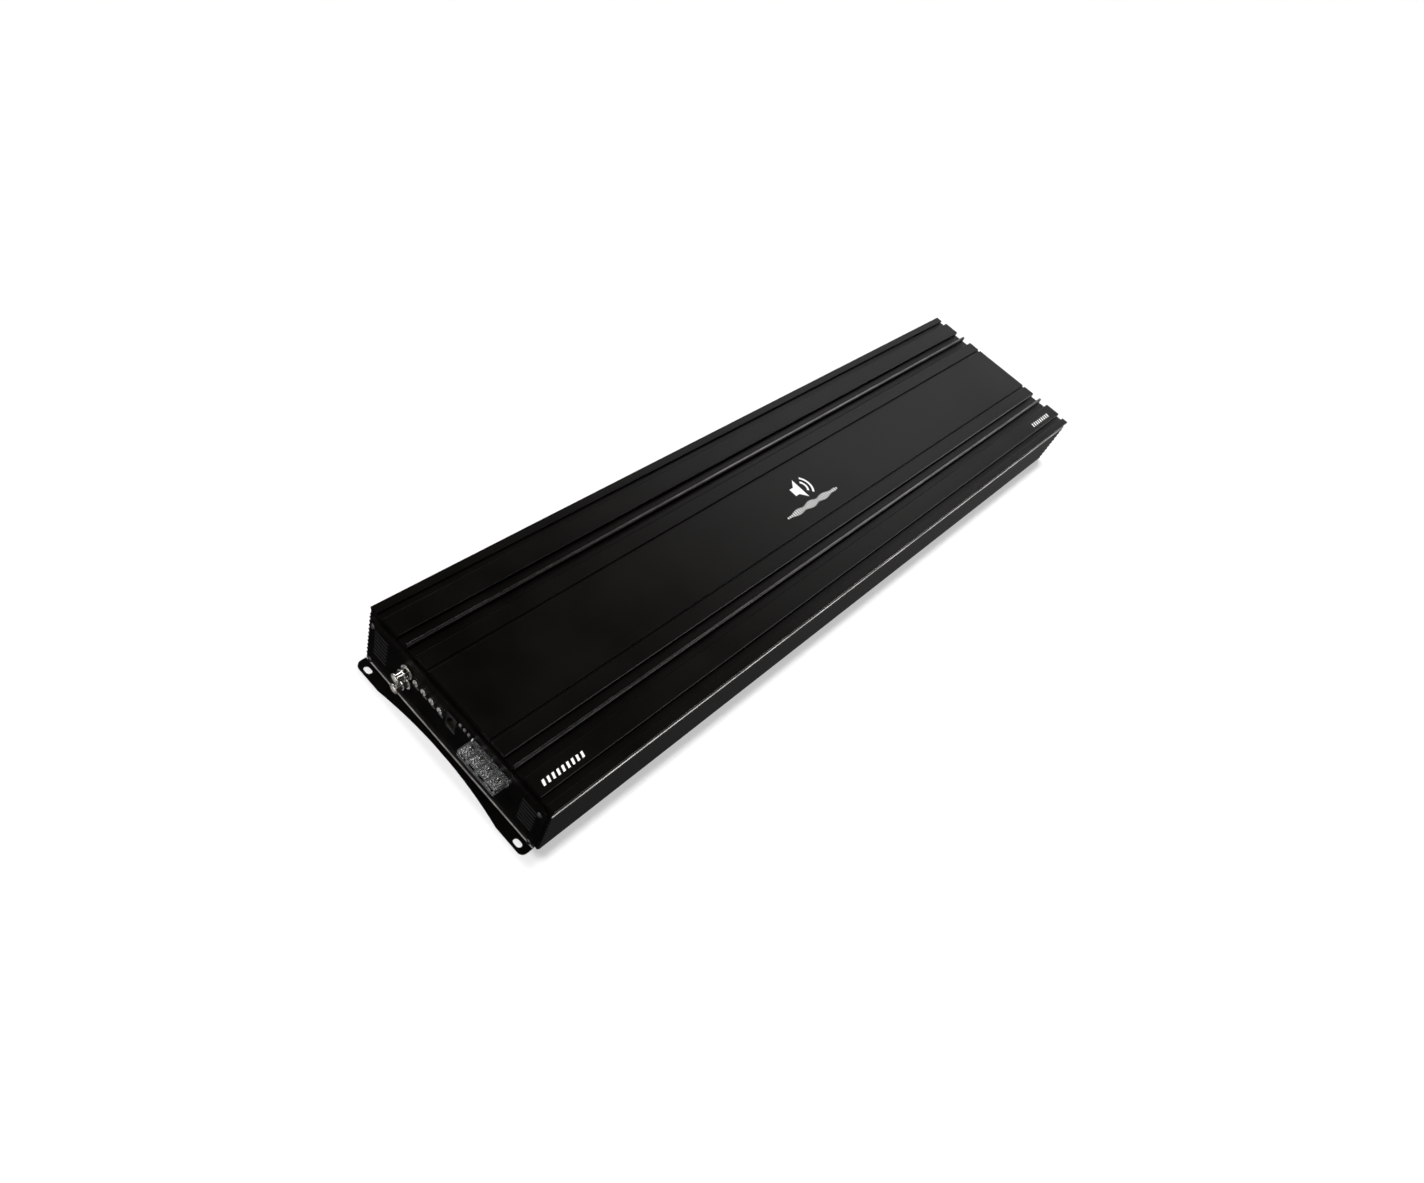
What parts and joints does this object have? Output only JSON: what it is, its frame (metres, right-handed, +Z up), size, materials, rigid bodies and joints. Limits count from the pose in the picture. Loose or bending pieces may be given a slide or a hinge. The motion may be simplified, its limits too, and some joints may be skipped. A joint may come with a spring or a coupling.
{
  "type": "car amplifier",
  "caption": "Long flat black car audio amplifier: finned extruded case, folded end plates with mounting slots, signal sockets, adjusters and screw terminals.",
  "frame": {"origin": "middle of the footprint, on the surface the amplifier stands on", "axes": "+X along the case from the control end to the power input end, +Z up through the top face, Y across the case"},
  "size_m": [0.8566, 0.211, 0.0663],
  "materials": {
    "anodised_black": "satin black anodised",
    "painted_black": "semi-gloss black powder coat",
    "zinc_steel": "zinc plated",
    "bright_nickel": "bright nickel plated",
    "black_plastic": "matte moulded",
    "white_plastic": "moulded",
    "led_plastic": "frosted lens",
    "clear_plastic": "clear polycarbonate",
    "circuit_board": "green solder mask",
    "copper_winding": "enamelled copper wire",
    "capacitor_sleeve": "shrunk plastic sleeve"
  },
  "bodies": {
    "case": {"heatsink_chassis": "anodised_black", "bottom_cover": "painted_black", "control_end_plate": "painted_black", "power_end_plate": "painted_black", "control_plate_screw_1": "zinc_steel", "control_plate_screw_2": "zinc_steel", "control_plate_screw_3": "zinc_steel", "control_plate_screw_4": "zinc_steel", "power_plate_screw_1": "zinc_steel", "power_plate_screw_2": "zinc_steel", "power_plate_screw_3": "zinc_steel", "power_plate_screw_4": "zinc_steel", "rca_jack_body": "black_plastic", "rca_shell_upper": "bright_nickel", "rca_shell_lower": "bright_nickel", "rca_insulator_upper": "white_plastic", "rca_insulator_lower": "white_plastic", "gain_potentiometer": "black_plastic", "low_pass_potentiometer": "black_plastic", "subsonic_potentiometer": "black_plastic", "bass_boost_potentiometer": "black_plastic", "remote_level_port": "black_plastic", "power_led": "led_plastic", "protect_led": "led_plastic", "clip_led": "led_plastic", "speaker_terminal_housing": "clear_plastic", "speaker_1_terminal": "bright_nickel", "speaker_2_terminal": "bright_nickel", "speaker_3_terminal": "bright_nickel", "speaker_4_terminal": "bright_nickel", "power_terminal_housing": "clear_plastic", "battery_terminal": "bright_nickel", "remote_terminal": "bright_nickel", "ground_terminal": "bright_nickel", "fan_frame_left": "black_plastic", "fan_frame_right": "black_plastic", "main_board": "circuit_board", "control_board": "circuit_board", "power_transformer_1": "copper_winding", "power_transformer_2": "copper_winding", "output_inductor": "copper_winding", "rail_capacitor_1": "capacitor_sleeve", "rail_capacitor_2": "capacitor_sleeve", "rail_capacitor_3": "capacitor_sleeve", "rail_capacitor_4": "capacitor_sleeve", "transistor_clamp_left": "zinc_steel", "transistor_clamp_right": "zinc_steel"},
    "gain_knob": {"gain_knob": "bright_nickel"},
    "low_pass_knob": {"low_pass_knob": "bright_nickel"},
    "subsonic_knob": {"subsonic_knob": "bright_nickel"},
    "bass_boost_knob": {"bass_boost_knob": "bright_nickel"},
    "speaker_1_terminal_screw": {"speaker_1_terminal_screw": "bright_nickel"},
    "speaker_2_terminal_screw": {"speaker_2_terminal_screw": "bright_nickel"},
    "speaker_3_terminal_screw": {"speaker_3_terminal_screw": "bright_nickel"},
    "speaker_4_terminal_screw": {"speaker_4_terminal_screw": "bright_nickel"},
    "battery_terminal_screw": {"battery_terminal_screw": "bright_nickel"},
    "remote_terminal_screw": {"remote_terminal_screw": "bright_nickel"},
    "ground_terminal_screw": {"ground_terminal_screw": "bright_nickel"},
    "fan_rotor_left": {"fan_rotor_left": "black_plastic"},
    "fan_rotor_right": {"fan_rotor_right": "black_plastic"}
  },
  "joints": [
    {"name": "gain_turn", "type": "hinge", "parent": "case", "child": "gain_knob", "pos_m": [-0.4143, 0.0422, 0.0425], "axis": [-1, 0, 0], "range_deg": [-140, 140]},
    {"name": "low_pass_turn", "type": "hinge", "parent": "case", "child": "low_pass_knob", "pos_m": [-0.4143, 0.0326, 0.0425], "axis": [-1, 0, 0], "range_deg": [-140, 140]},
    {"name": "subsonic_turn", "type": "hinge", "parent": "case", "child": "subsonic_knob", "pos_m": [-0.4143, 0.023, 0.0425], "axis": [-1, 0, 0], "range_deg": [-140, 140]},
    {"name": "bass_boost_turn", "type": "hinge", "parent": "case", "child": "bass_boost_knob", "pos_m": [-0.4143, 0.0134, 0.0425], "axis": [-1, 0, 0], "range_deg": [-140, 140]},
    {"name": "speaker_1_screw_turn", "type": "hinge", "parent": "case", "child": "speaker_1_terminal_screw", "pos_m": [-0.4199, -0.02725, 0.0464], "axis": [0, 0, -1], "range_deg": [0, 1080]},
    {"name": "speaker_2_screw_turn", "type": "hinge", "parent": "case", "child": "speaker_2_terminal_screw", "pos_m": [-0.4199, -0.03755, 0.0464], "axis": [0, 0, -1], "range_deg": [0, 1080]},
    {"name": "speaker_3_screw_turn", "type": "hinge", "parent": "case", "child": "speaker_3_terminal_screw", "pos_m": [-0.4199, -0.04785, 0.0464], "axis": [0, 0, -1], "range_deg": [0, 1080]},
    {"name": "speaker_4_screw_turn", "type": "hinge", "parent": "case", "child": "speaker_4_terminal_screw", "pos_m": [-0.4199, -0.05815, 0.0464], "axis": [0, 0, -1], "range_deg": [0, 1080]},
    {"name": "battery_screw_turn", "type": "hinge", "parent": "case", "child": "battery_terminal_screw", "pos_m": [0.4199, 0.0142, 0.03], "axis": [0, 0, -1], "range_deg": [0, 1440]},
    {"name": "remote_screw_turn", "type": "hinge", "parent": "case", "child": "remote_terminal_screw", "pos_m": [0.4199, 0, 0.03], "axis": [0, 0, -1], "range_deg": [0, 1080]},
    {"name": "ground_screw_turn", "type": "hinge", "parent": "case", "child": "ground_terminal_screw", "pos_m": [0.4199, -0.0142, 0.03], "axis": [0, 0, -1], "range_deg": [0, 1440]},
    {"name": "fan_left_spin", "type": "hinge", "parent": "case", "child": "fan_rotor_left", "pos_m": [0.405, 0.062, 0.0296], "axis": [1, 0, 0], "continuous": true},
    {"name": "fan_right_spin", "type": "hinge", "parent": "case", "child": "fan_rotor_right", "pos_m": [0.405, -0.062, 0.0296], "axis": [1, 0, 0], "continuous": true}
  ]
}
